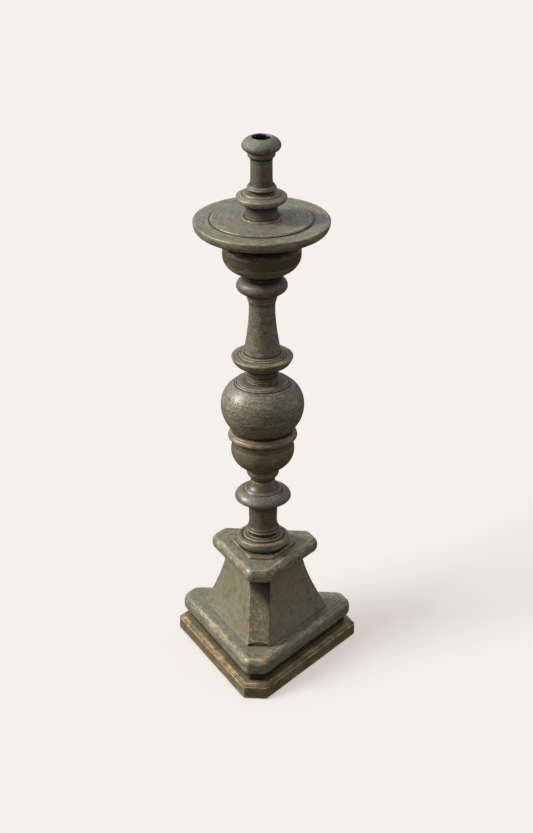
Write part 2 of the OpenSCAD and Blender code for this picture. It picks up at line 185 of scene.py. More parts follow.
def fill(pts, gap, shows):
    """Adds points so that rows are no further apart than gap wherever the surface shows."""
    out = [pts[0]]
    for a, b in zip(pts, pts[1:]):
        steps = 1
        if shows(a) or shows(b):
            steps = max(1, math.ceil(np.linalg.norm(b - a) / gap))
        out += [a + (b - a) * k / steps for k in range(1, steps + 1)]
    return np.array(out)


def thin(pts, gap=0.09 * MM):
    """Drops points that crowd the one before."""
    out = [pts[0]]
    for p in pts[1:-1]:
        if np.linalg.norm(p - out[-1]) > gap:
            out.append(p)
    return out + [pts[-1]]


def relief(line, reach):
    """How far each point of a line stands out from its surroundings (+) or lies in a hollow (-),
    as a share of the reach. The line runs with its outside on the right."""
    step = np.linalg.norm(np.diff(line, axis=0), axis=1)
    s = np.concatenate([[0], np.cumsum(step)])

    def at(q):
        return np.stack([np.interp(q, s, line[:, k]) for k in range(2)], axis=1)

    low, high = np.maximum(s - reach, 0), np.minimum(s + reach, s[-1])
    tangent = at(np.minimum(s + 0.3 * MM, s[-1])) - at(np.maximum(s - 0.3 * MM, 0))
    tangent /= np.maximum(np.linalg.norm(tangent, axis=1), 1e-12)[:, None]
    outside = np.stack([tangent[:, 1], -tangent[:, 0]], axis=1)
    middle = (at(low) + at(high)) / 2
    return ((line - middle) * outside).sum(1) / reach


TURNED_NODES = [
    "foot_turning", "stem_turning", "lower_cup", "ball", "trumpet", "upper_knop", "bowl",
    "drip_plate", "cup_disc", "candle_cup",
]
LEVEL = 1.0 * MM  # spacing of the column's outline used for shelter


def column_outline():
    """The column's widest radius at each level, over all its turned pieces."""
    top = CAD_BOX[1].z
    levels = np.arange(0, top + LEVEL, LEVEL)
    widest = np.zeros(len(levels))
    for node in TURNED_NODES:
        mesh = NODES[node].data
        co = np.array([v.co for v in mesh.vertices], float)
        radius, z = np.hypot(co[:, 0], co[:, 1]), co[:, 2]
        for edge in mesh.edges:
            a, b = edge.vertices
            low, high = sorted((z[a], z[b]))
            span = (levels >= low - LEVEL / 2) & (levels <= high + LEVEL / 2)
            if span.any():
                widest[span] = np.maximum(widest[span], np.interp(
                    levels[span], [low, high + 1e-9],
                    [radius[a], radius[b]] if z[a] <= z[b] else [radius[b], radius[a]]))
    return levels, widest


def shelter(line, levels, widest, reach=60 * MM):
    """How far each point of an outline is shut in by wider parts above and below it: 0 in the open,
    1 at the back of a deep groove. The paint gets painted shade from it. What is above counts for
    more, as light comes from there."""
    result = np.empty(len(line))
    for i, (radius, z) in enumerate(line):
        rise = levels - z
        overhang = widest - radius
        steep = np.arctan2(overhang, np.abs(rise)) / (math.pi / 2)
        above = steep[(rise > 1.5 * LEVEL) & (rise < reach)]
        below = steep[(rise < -1.5 * LEVEL) & (rise > -reach)]
        shut = 0.65 * max(above.max(initial=0), 0) + 0.35 * max(below.max(initial=0), 0)
        result[i] = shut
    return result


# ---------------------------------------------------------------- meshes


def new_mesh(name, verts, faces, facts):
    """A mesh object with its facts stored as point attributes."""
    mesh = bpy.data.meshes.new(name)
    mesh.from_pydata([tuple(v) for v in verts], [], faces)
    mesh.validate()
    mesh.shade_smooth()
    normals = np.empty(len(mesh.vertices) * 3)
    mesh.vertex_normals.foreach_get("vector", normals)
    # how far each point faces down; the paint is made browner there
    facts["under"] = -normals[2::3]
    for key, values in facts.items():
        values = np.asarray(values, np.float32)
        if values.ndim == 2:
            attribute = mesh.attributes.new(key, "FLOAT_VECTOR", "POINT")
            attribute.data.foreach_set("vector", values.ravel())
        else:
            attribute = mesh.attributes.new(key, "FLOAT", "POINT")
            attribute.data.foreach_set("value", values)
    obj = bpy.data.objects.new(name, mesh)
    bpy.context.scene.collection.objects.link(obj)
    return obj


def normals_of(verts, faces):
    """Vertex normals of a mesh given as arrays, by summing its faces' normals."""
    total = np.zeros_like(verts)
    for size in (3, 4):
        picked = np.array([f for f in faces if len(f) == size], np.int64)
        if len(picked) == 0:
            continue
        a, b = verts[picked[:, 0]], verts[picked[:, 1]]
        c, d = verts[picked[:, 2]], verts[picked[:, size - 1]]
        face_normal = np.cross(c - a, d - b) if size == 4 else np.cross(b - a, c - a)
        for k in range(size):
            np.add.at(total, picked[:, k], face_normal)
    return total / np.maximum(np.linalg.norm(total, axis=1), 1e-15)[:, None]


def loop_faces(rows, around, closed=False):
    """Four-sided faces between rows of points that each run round a piece."""
    faces = []
    for i in range(rows if closed else rows - 1):
        a, b = i * around, ((i + 1) % rows) * around
        faces += [
            (a + j, a + (j + 1) % around, b + (j + 1) % around, b + j) for j in range(around)
        ]
    return faces


def weather(verts, normals, proud, seed, chips, wobble=0.12 * MM, ripple=0.03 * MM):
    """Handwork and wear as real shape: a slow wobble, faint tool ripples, and chips knocked out
    of the arrises. Returns the moved points and how deep in a chip each one is, from 0 to 1."""
    rng = np.random.default_rng(seed)
    shift = wobble * noise(verts, 26 * MM, seed)
    shift += ripple * noise(verts * np.array([0.25, 0.25, 1.6]), 2.2 * MM, seed + 7)
    moved = verts + normals * shift[:, None]
    chip = np.zeros(len(verts))
    edges = np.flatnonzero(proud > CHIPPED_ABOVE)
    if len(edges) and chips:
        weight = proud[edges] ** 2
        for index in rng.choice(edges, size=chips, p=weight / weight.sum()):
            size = rng.uniform(1.2, 3.4) * MM
            depth = rng.uniform(0.12, 0.38) * MM
            stretch = np.array([1.0, 1.0, rng.uniform(1.2, 2.6)])
            away = np.linalg.norm((verts - verts[index]) * stretch, axis=1) / size
            near = away < 1
            bowl = (1 - away[near] ** 2) ** 2
            moved[near] -= normals[near] * (depth * bowl)[:, None]
            chip[near] = np.maximum(chip[near], bowl)
    return moved, chip


def traced_profile(node):
    """Half-outline (radius, height) of a turned CAD node, followed from its lower end round to its
    upper end. A bored-through node gives a closed outline."""
    mesh = NODES[node].data
    co = np.array([v.co for v in mesh.vertices], float)
    rz = np.stack([np.hypot(co[:, 0], co[:, 1]), co[:, 2]], axis=1)
    circles, which, count = [], np.zeros(len(rz), int), []
    for i, p in enumerate(rz):
        for k, c in enumerate(circles):
            if abs(c[0] - p[0]) < 0.03 * MM and abs(c[1] - p[1]) < 0.03 * MM:
                which[i] = k
                count[k] += 1
                break
        else:
            which[i] = len(circles)
            circles.append(p)
            count.append(1)
    links = {}
    for polygon in mesh.polygons:
        ring = {which[v] for v in polygon.vertices}
        for a in ring:
            for b in ring:
                if a < b:
                    links[a, b] = links.get((a, b), 0) + 1
    whole = {k for k, n in enumerate(count) if n >= CIRCLE_POINTS}
    beside = {k: [] for k in whole}
    for (a, b), n in links.items():
        if a in whole and b in whole and n >= STRIP_LINKS:
            beside[a].append(b)
            beside[b].append(a)
    ends = sorted((k for k in whole if len(beside[k]) == 1), key=lambda k: circles[k][1])
    closed = not ends
    start = ends[0] if ends else min(whole, key=lambda k: (circles[k][1], circles[k][0]))
    path, last = [start], None
    if closed:
        last = min(beside[start], key=lambda k: circles[k][0])
    while True:
        onward = [k for k in beside[path[-1]] if k != last and (k not in path or k == start)]
        if not onward or onward[0] == start:
            break
        last = path[-1]
        path.append(onward[0])
    return [circles[k] for k in path], closed


def turned(name, node, material, seed, chips=8, arris=ARRIS, zone=None):
    """A turned piece: the CAD node's own outline, smoothed, softened, turned and weathered. A zone
    is the stretch of its height that is coloured darker, as two shares of that height, with how
    softly it ends and how strong it is. On most pieces the zone is painted shade under an overhang;
    on the stem it is the shaft's brown stain."""
    outline, closed = traced_profile(node)
    if closed:
        outline = outline + [outline[0]]
    pts, sharp = refine(outline)
    line = fill(thin(soften(pts, sharp, arris)), ROW_GAP, lambda p: p[0] > HIDDEN_R)
    if closed:
        line = line[:-1]
    proud, hollow = relief(line, ARRIS_REACH), -relief(line, HOLLOW_REACH)
    broad = relief(line, BROAD_REACH)
    # painted shade: how far the wider pieces above and below shut each point in
    deep = shelter(line, *COLUMN)
    stain_and_shade = np.zeros(len(line))
    if zone is not None:
        start, stop, blur, strength = zone
        low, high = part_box(node)
        share = (line[:, 1] - low.z) / (high.z - low.z)
        stain_and_shade = np.clip((share - start) / blur + 0.5, 0, 1)
        stain_and_shade *= np.clip((stop - share) / blur + 0.5, 0, 1)
        stain_and_shade *= stain_and_shade * (3 - 2 * stain_and_shade) * strength
    angle = np.linspace(0, 2 * math.pi, AROUND, endpoint=False) + math.pi / 2
    rows = len(line)
    verts = np.empty((rows, AROUND, 3))
    verts[:, :, 0] = line[:, :1] * np.cos(angle)
    verts[:, :, 1] = line[:, :1] * np.sin(angle)
    verts[:, :, 2] = line[:, 1:]
    verts = verts.reshape(-1, 3)
    faces = loop_faces(rows, AROUND, closed)
    proud, hollow, broad, deep, stain_and_shade = (
        np.repeat(a, AROUND) for a in (proud, hollow, broad, deep, stain_and_shade)
    )
    # paint strokes run round the piece: a round drum, unrolled upwards along the outline
    climb = np.concatenate([[0], np.cumsum(np.linalg.norm(np.diff(line, axis=0), axis=1))])
    grain = np.stack([
        np.tile(DRUM * np.cos(angle), rows),
        np.tile(DRUM * np.sin(angle), rows),
        np.repeat(climb + line[0, 1], AROUND),
    ], axis=1)
    normals = normals_of(verts, faces)
    hidden = np.hypot(verts[:, 0], verts[:, 1]) < HIDDEN_R
    verts, chip = weather(verts, normals * ~hidden[:, None], proud * ~hidden, seed, chips)
    if not closed:
        low, high = len(verts), len(verts) + 1
        verts = np.vstack([verts, [[0, 0, line[0, 1]], [0, 0, line[-1, 1]]]])
        top = (rows - 1) * AROUND
        faces += [(low, (j + 1) % AROUND, j) for j in range(AROUND)]
        faces += [(high, top + j, top + (j + 1) % AROUND) for j in range(AROUND)]
        proud, hollow, broad, deep, stain_and_shade, chip = (
            np.append(a, [0, 0]) for a in (proud, hollow, broad, deep, stain_and_shade, chip)
        )
        grain = np.vstack([grain, grain[:1], grain[-1:]])
    facts = {"proud": proud, "hollow": hollow, "broad": broad, "deep": deep, "stain_and_shade": stain_and_shade,
             "chip": chip, "grain": grain}
    finish_piece(new_mesh(name, verts, faces, facts), node, material)


def finish_piece(piece, node, material):
    """Gives a piece its material, slot and body, and lets it stand for its CAD node."""
    piece.data.materials.append(material)
    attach(piece, "root")
    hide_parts(node)


# ---------------------------------------------------------------- the base's boards


def edge_directions():
    """Outward directions of the base's six edges, cut corner first, then long side, in turn."""
    angles = [math.radians(FIRST_EDGE + EDGE_TURN * k) for k in range(6)]
    return [np.array([math.cos(a), math.sin(a)]) for a in angles]


def edge_steps(k):
    """How many points the straight part of an edge has: the even edges are the cut corners."""
    return SHORT_STEPS if k % 2 == 0 else LONG_STEPS


def board_ring(corner, side, rounding):
    """Points round a six-edged outline with rounded corners."""
    dirs = edge_directions()
    reach = [corner if k % 2 == 0 else side for k in range(6)]
    tips = []
    for k in range(6):
        a, b = dirs[k], dirs[(k + 1) % 6]
        tips.append(np.linalg.solve(np.array([a, b]), np.array([reach[k], reach[(k + 1) % 6]])))
    cut = rounding * math.tan(math.radians(EDGE_TURN / 2))
    points = []
    for k in range(6):
        along = unit(tips[k] - tips[k - 1])
        start, end = tips[k - 1] + along * cut, tips[k] - along * cut
        steps = edge_steps(k)
        for q in range(steps):
            points.append(start + (end - start) * q / steps)
        centre = end - dirs[k] * rounding
        for q in range(BEND_STEPS):
            a = math.radians(FIRST_EDGE + EDGE_TURN * (k + q / BEND_STEPS))
            points.append(centre + rounding * np.array([math.cos(a), math.sin(a)]))
    return np.array(points)


def edge_profile(node):
    """The moulded edge of a CAD board as (distance to the long side, height), from below up."""
    co = np.array([v.co for v in NODES[node].data.vertices], float)
    side = np.max([co[:, :2] @ d for d in edge_directions()[1::2]], axis=0)
    corner = np.max([co[:, :2] @ d for d in edge_directions()[0::2]], axis=0)
    spread = corner.max() - side.max()
    rim = (np.abs(corner - side - spread) < 0.05 * MM) & (side > 0.6 * side.max())
    found = sorted({(round(z / MM, 2), -round(s / MM, 2)) for s, z in zip(side[rim], co[rim, 2])})
    line = []
    for z, s in found:
        point = np.array([-s, z]) * MM
        if not line or np.linalg.norm(point - line[-1]) > 0.03 * MM:
            line.append(point)
    return line, spread


def board(name, node, material, seed, rounding, chips=10, arris=ARRIS, sheltered=0.0,
          beneath=0.0):
    """A three-sided board with a moulded edge: the CAD node's edge profile swept round the outline,
    with corners that soften towards the widest line. It can carry painted shade all over, or only
    where it lies beneath a round piece of some radius."""
    profile, spread = edge_profile(node)
    pts, sharp = refine(profile, 2)
    widest = max(p[0] for p in pts)
    inner = max(widest * 0.34, spread * 1.12)  # inside this the cut corners would meet
    pts = [np.array([inner, pts[0][1]])] + list(pts) + [np.array([inner, pts[-1][1]])]
    sharp = [True, *sharp, True]
    line = fill(thin(soften(pts, sharp, arris)), BOARD_ROW_GAP, lambda p: True)
    rings = []
    for s, z in line:
        bend = max(rounding - (widest - s) * 0.75, 0.35 * rounding)
        ring = board_ring(s + spread, s, bend)
        rings.append(np.column_stack([ring, np.full(len(ring), z)]))
    around, rows = len(rings[0]), len(rings)
    verts = np.vstack(rings)
    faces = loop_faces(rows, around)
    normals = normals_of(verts, faces)
    proud = np.repeat(relief(line, ARRIS_REACH), around)
    hollow = np.repeat(-relief(line, HOLLOW_REACH), around)
    broad = np.repeat(relief(line, BROAD_REACH), around)
    # the mitred corners stand out too, where the bend is tight
    bend_peak = [math.sin(math.pi * (q + 0.5) / BEND_STEPS) ** 6 for q in range(BEND_STEPS)]
    at_bend = np.concatenate([[0.0] * edge_steps(k) + bend_peak for k in range(6)])
    upright = 1 - np.abs(normals[:, 2])
    proud = np.maximum(proud, np.tile(at_bend, rows) * 0.44 * (0.5 + 0.5 * upright))
    # each edge's own run of paint strokes: along it, in from it, and upwards
    edge_of = np.concatenate([np.full(edge_steps(k) + BEND_STEPS, k) for k in range(6)])
    out = np.tile(np.array(edge_directions())[edge_of], (rows, 1))
    along = np.stack([-out[:, 1], out[:, 0]], axis=1)
    lane = 0.4 * np.tile(edge_of, rows)  # keeps one edge's strokes apart from the next one's
    grain = np.stack([
        (verts[:, :2] * along).sum(1) + lane, (verts[:, :2] * out).sum(1), verts[:, 2]
    ], axis=1)
    verts, chip = weather(verts, normals, proud, seed, chips, 0.2 * MM)
    verts[:, 2] = np.clip(verts[:, 2], line[0][1], line[-1][1])
    bottom, top = range(around - 1, -1, -1), range((rows - 1) * around, rows * around)
    faces += [tuple(bottom), tuple(top)]
    # painted shade on the board under a round piece resting on it
    under_piece = np.clip((beneath - np.hypot(verts[:, 0], verts[:, 1])) / (4 * MM), 0, 1)
    facts = {"proud": proud, "hollow": hollow, "broad": broad, "chip": chip, "grain": grain,
             "deep": np.maximum(sheltered, 0.8 * under_piece)}
    finish_piece(new_mesh(name, verts, faces, facts), node, material)


# ---------------------------------------------------------------- the flared pedestal


def flare_line(node, direction):
    """Outer line of a flared CAD wall as (distance from the axis, height), smoothed."""
    co = np.array([v.co for v in NODES[node].data.vertices], float)
    out = co[:, :2] @ direction
    levels = sorted({round(z / MM, 2) for z in co[:, 2]})
    points = []
    for level in levels:
        near = np.abs(co[:, 2] / MM - level) < 0.02
        reach = out[near].max()
        if points and reach > points[-1][0] + 0.02 * MM:
            continue
        points.append(np.array([reach, level * MM]))
    return points


def smooth_rows(points, rows):
    """Evenly spaced rows along a smoothed line."""
    pts, _ = refine(points, 3)
    pts = np.array(pts)
    s = np.concatenate([[0], np.cumsum(np.linalg.norm(np.diff(pts, axis=0), axis=1))])
    q = np.linspace(0, s[-1], rows)
    return np.stack([np.interp(q, s, pts[:, k]) for k in range(2)], axis=1)


def ring_wall(name, node, material, slot_name, sections, proud, deep, seed, chips):
    """A solid lofted through closed sections that all have the same number of points."""
    rows, around = sections.shape[:2]
    verts = sections.reshape(-1, 3)
    faces = loop_faces(rows, around)
    normals = normals_of(verts, faces)
    flat_proud = proud.reshape(-1)
    moved, chip = weather(verts, normals, flat_proud, seed, chips, 0.16 * MM)
    faces += [tuple(range(around - 1, -1, -1)), tuple(range((rows - 1) * around, rows * around))]
    facts = {"proud": flat_proud, "deep": deep.reshape(-1), "chip": chip}
    finish_piece(new_mesh(name, moved, faces, facts), node, material)


def rounded_polyline(corners, radius, edge_parts):
    """A closed outline with each corner rounded a little and each edge divided into its number of
    even parts. Gives the points and which of them lie on a rounded corner."""
    points, on_corner = [], []
    for k, here in enumerate(corners):
        back, ahead = corners[k - 1], corners[(k + 1) % len(corners)]
        a, b = here + unit(back - here) * radius, here + unit(ahead - here) * radius
        points += [a, 0.25 * a + 0.5 * here + 0.25 * b, b]
        on_corner += [1, 1, 1]
        end = ahead + unit(here - ahead) * radius
        steps = edge_parts[k]
        for q in range(1, steps):
            points.append(b + (end - b) * q / steps)
            on_corner.append(0)
    return np.array(points), np.array(on_corner)


def basis(direction):
    """(outward, sideways) unit vectors in the plan for a direction in degrees."""
    a = math.radians(direction)
    return np.array([math.cos(a), math.sin(a)]), np.array([-math.sin(a), math.cos(a)])


def panel(name, node, direction, material, seed):
    """One flared side panel: its face runs between the corner strips, and its ends are bevelled
    behind them."""
    out, side = basis(direction)
    line = smooth_rows(flare_line(node, out), PANEL_ROWS)
    third = math.radians(EDGE_TURN)
    sections, proud, deep = [], [], []
    foot, head = line[0][1], line[-1][1]
    for d, z in line:
        half = math.sqrt(3) * d - STRIP_W
        behind = np.array([half - STRIP_T * math.sin(third), d - STRIP_T * math.cos(third)])
        inner = d - PANEL_T
        end = (2 * d - STRIP_W * math.cos(third / 2) - STRIP_T - inner / 2) / math.sin(third)
        right = [np.array([end, inner]), behind, np.array([half, d])]
        left = [p * np.array([-1, 1]) for p in reversed(right)]
        points, on_corner = rounded_polyline(right + left, 0.4 * MM, PANEL_STEPS)
        sections.append([[*(out * q[1] + side * q[0]), z] for q in points])
        front = (points[:, 1] > d - 1 * MM) & (np.abs(points[:, 0]) > half - 1 * MM)
        proud.append(np.where(front & (on_corner > 0), 0.2, 0.0))
        # painted shade under the cap's overhang at the top and along the slab at the foot
        tucked = max(1 - (head - z) / (7 * MM), 0.7 - (z - foot) / (3 * MM), 0)
        deep.append(np.full(len(points), 0.5 * tucked))
    facts = np.array(proud), np.array(deep)
    ring_wall(name, node, material, "paint", np.array(sections), *facts, seed, 4)


def corner_strip(name, node, direction, material, seed):
    """One corner strip, flared like the panels, with an arched foot clear of the slab."""
    out, side = basis(direction)
    low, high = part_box(node)
    face = np.array(smooth_rows(flare_line(node, out), 60))
    half, back = STRIP_W / 2, -STRIP_T
    section = ((half, back), (half, STRIP_PROUD), (-half, STRIP_PROUD), (-half, back))
    corners = [np.array(p) for p in section]
    points, on_corner = rounded_polyline(corners, 0.7 * MM, STRIP_STEPS)
    radius = (half**2 + STRIP_ARCH**2) / (2 * STRIP_ARCH)
    foot = low.z + STRIP_ARCH - (radius - np.sqrt(radius**2 - points[:, 0] ** 2))
    sections, proud, deep = [], [], []
    for v in np.linspace(0, 1, PANEL_ROWS):
        z = foot + (high.z - foot) * v
        reach = np.interp(z, face[:, 1], face[:, 0]) + points[:, 1]
        plan = out * reach[:, None] + side * points[:, :1]
        sections.append(np.column_stack([plan, z]))
        edge = np.where((on_corner > 0) & (points[:, 1] > -1 * MM), 0.45, 0.0)
        proud.append(np.maximum(edge, 0.3 if v == 0 else 0.0))
        # painted shadow of the cap over the strip's upper part, its lower edge slanting across the
        # strip
        lean = 0.16 * points[:, 0] / half  # the sheltered part reaches lower on one side
        deep.append(0.78 * np.clip((v + lean - 0.38) / 0.4, 0, 1))
    facts = np.array(proud), np.array(deep)
    ring_wall(name, node, material, "paint", np.array(sections), *facts, seed, 9)


# ---------------------------------------------------------------- materials


class Shader:
    """Builds one procedural material, a node at a time."""

    def __init__(self, name):
        self.material = bpy.data.materials.new(name)
        self.material.use_nodes = True
        self.tree = self.material.node_tree
        self.surface = self.tree.nodes["Principled BSDF"]
        self.place = self.node("ShaderNodeTexCoord").outputs["Object"]

    def node(self, kind, **settings):
        node = self.tree.nodes.new(kind)
        for key, value in settings.items():
            setattr(node, key, value)
        return node

    def plug(self, socket, value):
        if isinstance(value, bpy.types.NodeSocket):
            self.tree.links.new(value, socket)
        else:
            socket.default_value = value

    def fact(self, name):
        """A point attribute of the mesh."""
        return self.node("ShaderNodeAttribute", attribute_name=name).outputs["Fac"]

    def stretched(self, scale, *turns):
        """Coordinates in millimetres, turned by each turn in order and then stretched."""
        place = self.place
        for turn in turns:
            node = self.node("ShaderNodeMapping", vector_type="POINT")
            self.plug(node.inputs["Vector"], place)
            node.inputs["Rotation"].default_value = turn
            place = node.outputs["Vector"]
        node = self.node("ShaderNodeMapping", vector_type="POINT")
        self.plug(node.inputs["Vector"], place)
        node.inputs["Scale"].default_value = [k / MM for k in scale]
        return node.outputs["Vector"]

    def noise(self, vector, scale, detail=3.0, rough=0.55, distortion=0.0):
        node = self.node("ShaderNodeTexNoise")
        self.plug(node.inputs["Vector"], vector)
        node.inputs["Scale"].default_value = scale
        node.inputs["Detail"].default_value = detail
        node.inputs["Roughness"].default_value = rough
        node.inputs["Distortion"].default_value = distortion
        return node.outputs["Fac"]

    def span(self, value, low, high, out_low=0.0, out_high=1.0):
        """Maps low..high to out_low..out_high, smoothly and clamped."""
        node = self.node("ShaderNodeMapRange", interpolation_type="SMOOTHSTEP")
        self.plug(node.inputs["Value"], value)
        limits = {"From Min": low, "From Max": high, "To Min": out_low, "To Max": out_high}
        for key, number in limits.items():
            self.plug(node.inputs[key], number)
        return node.outputs["Result"]

    def math(self, operation, a, b=0.0, clamp=False):
        node = self.node("ShaderNodeMath", operation=operation, use_clamp=clamp)
        self.plug(node.inputs[0], a)
        self.plug(node.inputs[1], b)
        return node.outputs[0]

    def mix(self, share, a, b, blend="MIX"):
        node = self.node("ShaderNodeMix", data_type="RGBA", blend_type=blend)
        self.plug(node.inputs["Factor"], share)
        for socket, value in zip([i for i in node.inputs if i.type == "RGBA"], (a, b)):
            self.plug(socket, value)
        return [o for o in node.outputs if o.type == "RGBA"][0]

    def bump(self, height, strength, distance):
        node = self.node("ShaderNodeBump")
        self.plug(node.inputs["Height"], height)
        node.inputs["Strength"].default_value = strength
        node.inputs["Distance"].default_value = distance
        return node.outputs["Normal"]


def srgb(r, g, b):
    """A colour given as it looks on screen, 0 to 255, in the linear values that shaders use."""
    def linear(v):
        v /= 255
        return v / 12.92 if v <= 0.04045 else ((v + 0.055) / 1.055) ** 2.4

    return (linear(r), linear(g), linear(b), 1.0)


GREY = srgb(112, 117, 108)
KHAKI = srgb(121, 117, 95)
BROWN = srgb(84, 68, 39)
DARK = srgb(30, 29, 22)
# near-black, used only for painted shade where a surface is shut in or shadowed
SHADE_BLACK = srgb(17, 16, 12)
STRAW = srgb(172, 157, 120)
OCHRE = srgb(162, 118, 66)
GROUND = srgb(204, 184, 148)


def darker(colour, share):
    return (*(c * share for c in colour[:3]), 1.0)


def painted(name, streak=(0.045, 0.045, 0.5), brown=0.5, wear=1.0, patches=0.35, shade=1.0,
            khaki=0.5, grime_and_shade=1.0, contrast=1.0, gloss=1.0, rubbed_and_sheen=0.5, facing=None, edges=None):
    """Worn grey-green paint, dragged on thinly along the streak's slow directions, glazed brown in
    slow clouds and browner on the undersides, darkened in the hollows with glaze and painted shade,
    paler along the broad roundings with wear and a painted highlight, and scuffed through to ochre
    and pale ground on the arrises."""
    s = Shader(name)
    if edges is not None:
        s.place = s.node("ShaderNodeAttribute", attribute_name=edges).outputs["Vector"]
    fine = s.noise(s.stretched((0.6, 0.6, 0.6)), 1.0, 4, 0.8)
    mottle = s.noise(s.stretched((0.17, 0.17, 0.26)), 1.0, 3, 0.6, 0.4)
    cloud = s.noise(s.stretched((0.045, 0.045, 0.06)), 1.0, 4, 0.62, 0.3)
    lines = s.noise(s.stretched(streak), 1.0, 5, 0.74)
    cross = s.noise(s.stretched((0.45, 0.45, 0.07)), 1.0, 3, 0.7)
    flecks = s.noise(s.stretched((0.42, 0.42, 0.5)), 1.0, 2, 0.6)

    hue = s.math("ADD", s.math("MULTIPLY", s.math("SUBTRACT", cloud, 0.5), 1.4), khaki, clamp=True)
    base = s.mix(hue, darker(GREY, shade), darker(KHAKI, shade))
    thin_coat = s.span(lines, 0.3, 0.52, 1.0, 0.0)
    base = s.mix(s.math("MULTIPLY", thin_coat, 0.6 * contrast), base, darker(DARK, shade))
    dragged = s.math("MULTIPLY", s.span(lines, 0.5, 0.68), s.span(cross, 0.38, 0.62, 0.15, 1.0))
    base = s.mix(s.math("MULTIPLY", dragged, 0.3 * contrast), base, darker(STRAW, shade))
    specks = s.math("MULTIPLY", s.span(flecks, 0.52, 0.62), 0.3 * contrast)
    base = s.mix(specks, base, darker(DARK, shade))
    base = s.mix(1.0, base, s.span(mottle, 0.35, 0.65, 1 - 0.12 * contrast, 1 + 0.14 * contrast),
                 "MULTIPLY")
    base = s.mix(1.0, base, s.span(fine, 0.36, 0.66, 1 - 0.34 * contrast, 1 + 0.36 * contrast),
                 "MULTIPLY")

    # brown glaze in slow clouds, and browner on the downward faces; the hollows darkened partly
    # with glaze and partly with painted shade; the zones carry the stem's stain and painted shade
    # on the other pieces; shut-in recesses get near-black painted shade
    deep = s.span(s.fact("deep"), 0.35, 0.85)
    hollow = s.math("MULTIPLY", s.span(s.fact("hollow"), 0.015, 0.16), grime_and_shade)
    hollow = s.math("MAXIMUM", hollow, deep)
    under = s.span(s.fact("under"), 0.0, 0.7)
    glaze_and_shade = s.math("MULTIPLY", s.span(cloud, 0.35, 0.65, 0.3, 1.0), brown)
    glaze_and_shade = s.math("ADD", glaze_and_shade, s.math("MULTIPLY", under, 0.7 * brown))
    glaze_and_shade = s.math("MAXIMUM", glaze_and_shade, s.math("MAXIMUM", hollow, s.fact("stain_and_shade")))
    glaze_and_shade = s.math("MULTIPLY", glaze_and_shade, s.span(lines, 0.25, 0.75, 0.6, 0.95), clamp=True)
    base = s.mix(glaze_and_shade, base, darker(BROWN, shade))
    # the hollows and recesses darkened: partly glaze, partly painted shade
    base = s.mix(s.math("MULTIPLY", hollow, 0.85), base, DARK)
    # the zone darkened further: the stem's stain, and painted shade on the other pieces
    strong_stain_and_shade = s.math("MULTIPLY", s.fact("stain_and_shade"), s.fact("stain_and_shade"))
    base = s.mix(s.math("MULTIPLY", strong_stain_and_shade, 0.45), base, DARK)
    # near-black painted shade in recesses, under overhangs and in the shadowed strips, panels, pad
    # and spacer
    base = s.mix(s.math("MULTIPLY", deep, 0.75), base, SHADE_BLACK)

    # flecks and dabs where rubbing reached the ochre undercoat
    rub = s.noise(s.stretched((0.03, 0.03, 0.06)), 1.0, 4, 0.65, 0.5)
    dabs = s.noise(s.stretched((0.36, 0.36, 0.3)), 1.0, 4, 0.8)
    rub = s.math("MULTIPLY", s.span(rub, 0.44, 0.64), s.span(dabs, 0.5, 0.66))
    rub = s.math("MULTIPLY", rub, s.math("SUBTRACT", 1.0, deep))
    base = s.mix(s.math("MULTIPLY", rub, patches), base, OCHRE)

    # wide rounded edges paler in broken strokes: partly wear, partly a painted highlight along the
    # roundings
    ragged = s.noise(s.stretched((0.07, 0.07, 0.22)), 1.0, 5, 0.78)
    worn_and_sheen = s.math("MULTIPLY", s.span(s.fact("broad"), 0.08, 0.3), s.span(ragged, 0.47, 0.62))
    base = s.mix(s.math("MULTIPLY", worn_and_sheen, rubbed_and_sheen * wear), base, STRAW)

    # arrises rubbed to ochre, and to the pale ground where they stand out most
    proud = s.math("ADD", s.fact("proud"), s.math("MULTIPLY", s.fact("chip"), 0.18))
    open_edge = s.math("SUBTRACT", wear, s.math("MULTIPLY", deep, 0.9))
    uneven = s.math("MULTIPLY", s.math("SUBTRACT", ragged, 0.53), 1.8)
    edge = s.math("MULTIPLY", s.math("ADD", proud, uneven), open_edge)
    base = s.mix(s.span(edge, 0.14, 0.38, 0.0, 0.55), base, OCHRE)
    base = s.mix(s.span(edge, 0.32, 0.6, 0.0, 0.55), base, GROUND)

    height = s.math("ADD", s.math("MULTIPLY", lines, 0.6), s.math("MULTIPLY", fine, 0.4))
    if facing is not None:
        # knocks and scratches slanting both ways across a face turned to this direction
        flat = (0, 0, -math.radians(facing + 90))
        for slant, share in ((40, 0.4), (-32, 0.25)):
            cuts = s.stretched((0.4, 0.4, 0.055), flat, (0, math.radians(slant), 0))
            cuts = s.span(s.noise(cuts, 1.0, 3, 0.6), 0.54, 0.66)
            cuts = s.math("MULTIPLY", cuts, s.math("SUBTRACT", 1.0, deep))
            base = s.mix(s.math("MULTIPLY", cuts, share), base, STRAW)
            height = s.math("SUBTRACT", height, s.math("MULTIPLY", cuts, 0.3))
    s.plug(s.surface.inputs["Base Color"], base)
    rough = s.span(lines, 0.3, 0.7, 0.4 / gloss, 0.26 / gloss)
    rough = s.math("ADD", rough, s.math("MULTIPLY", glaze_and_shade, 0.14))
    s.plug(s.surface.inputs["Roughness"], s.math("ADD", rough, s.math("MULTIPLY", deep, 0.45)))
    s.plug(s.surface.inputs["Normal"], s.bump(height, 0.7, 0.6 * MM))
    s.surface.inputs["Specular IOR Level"].default_value = 0.5
    return s.material


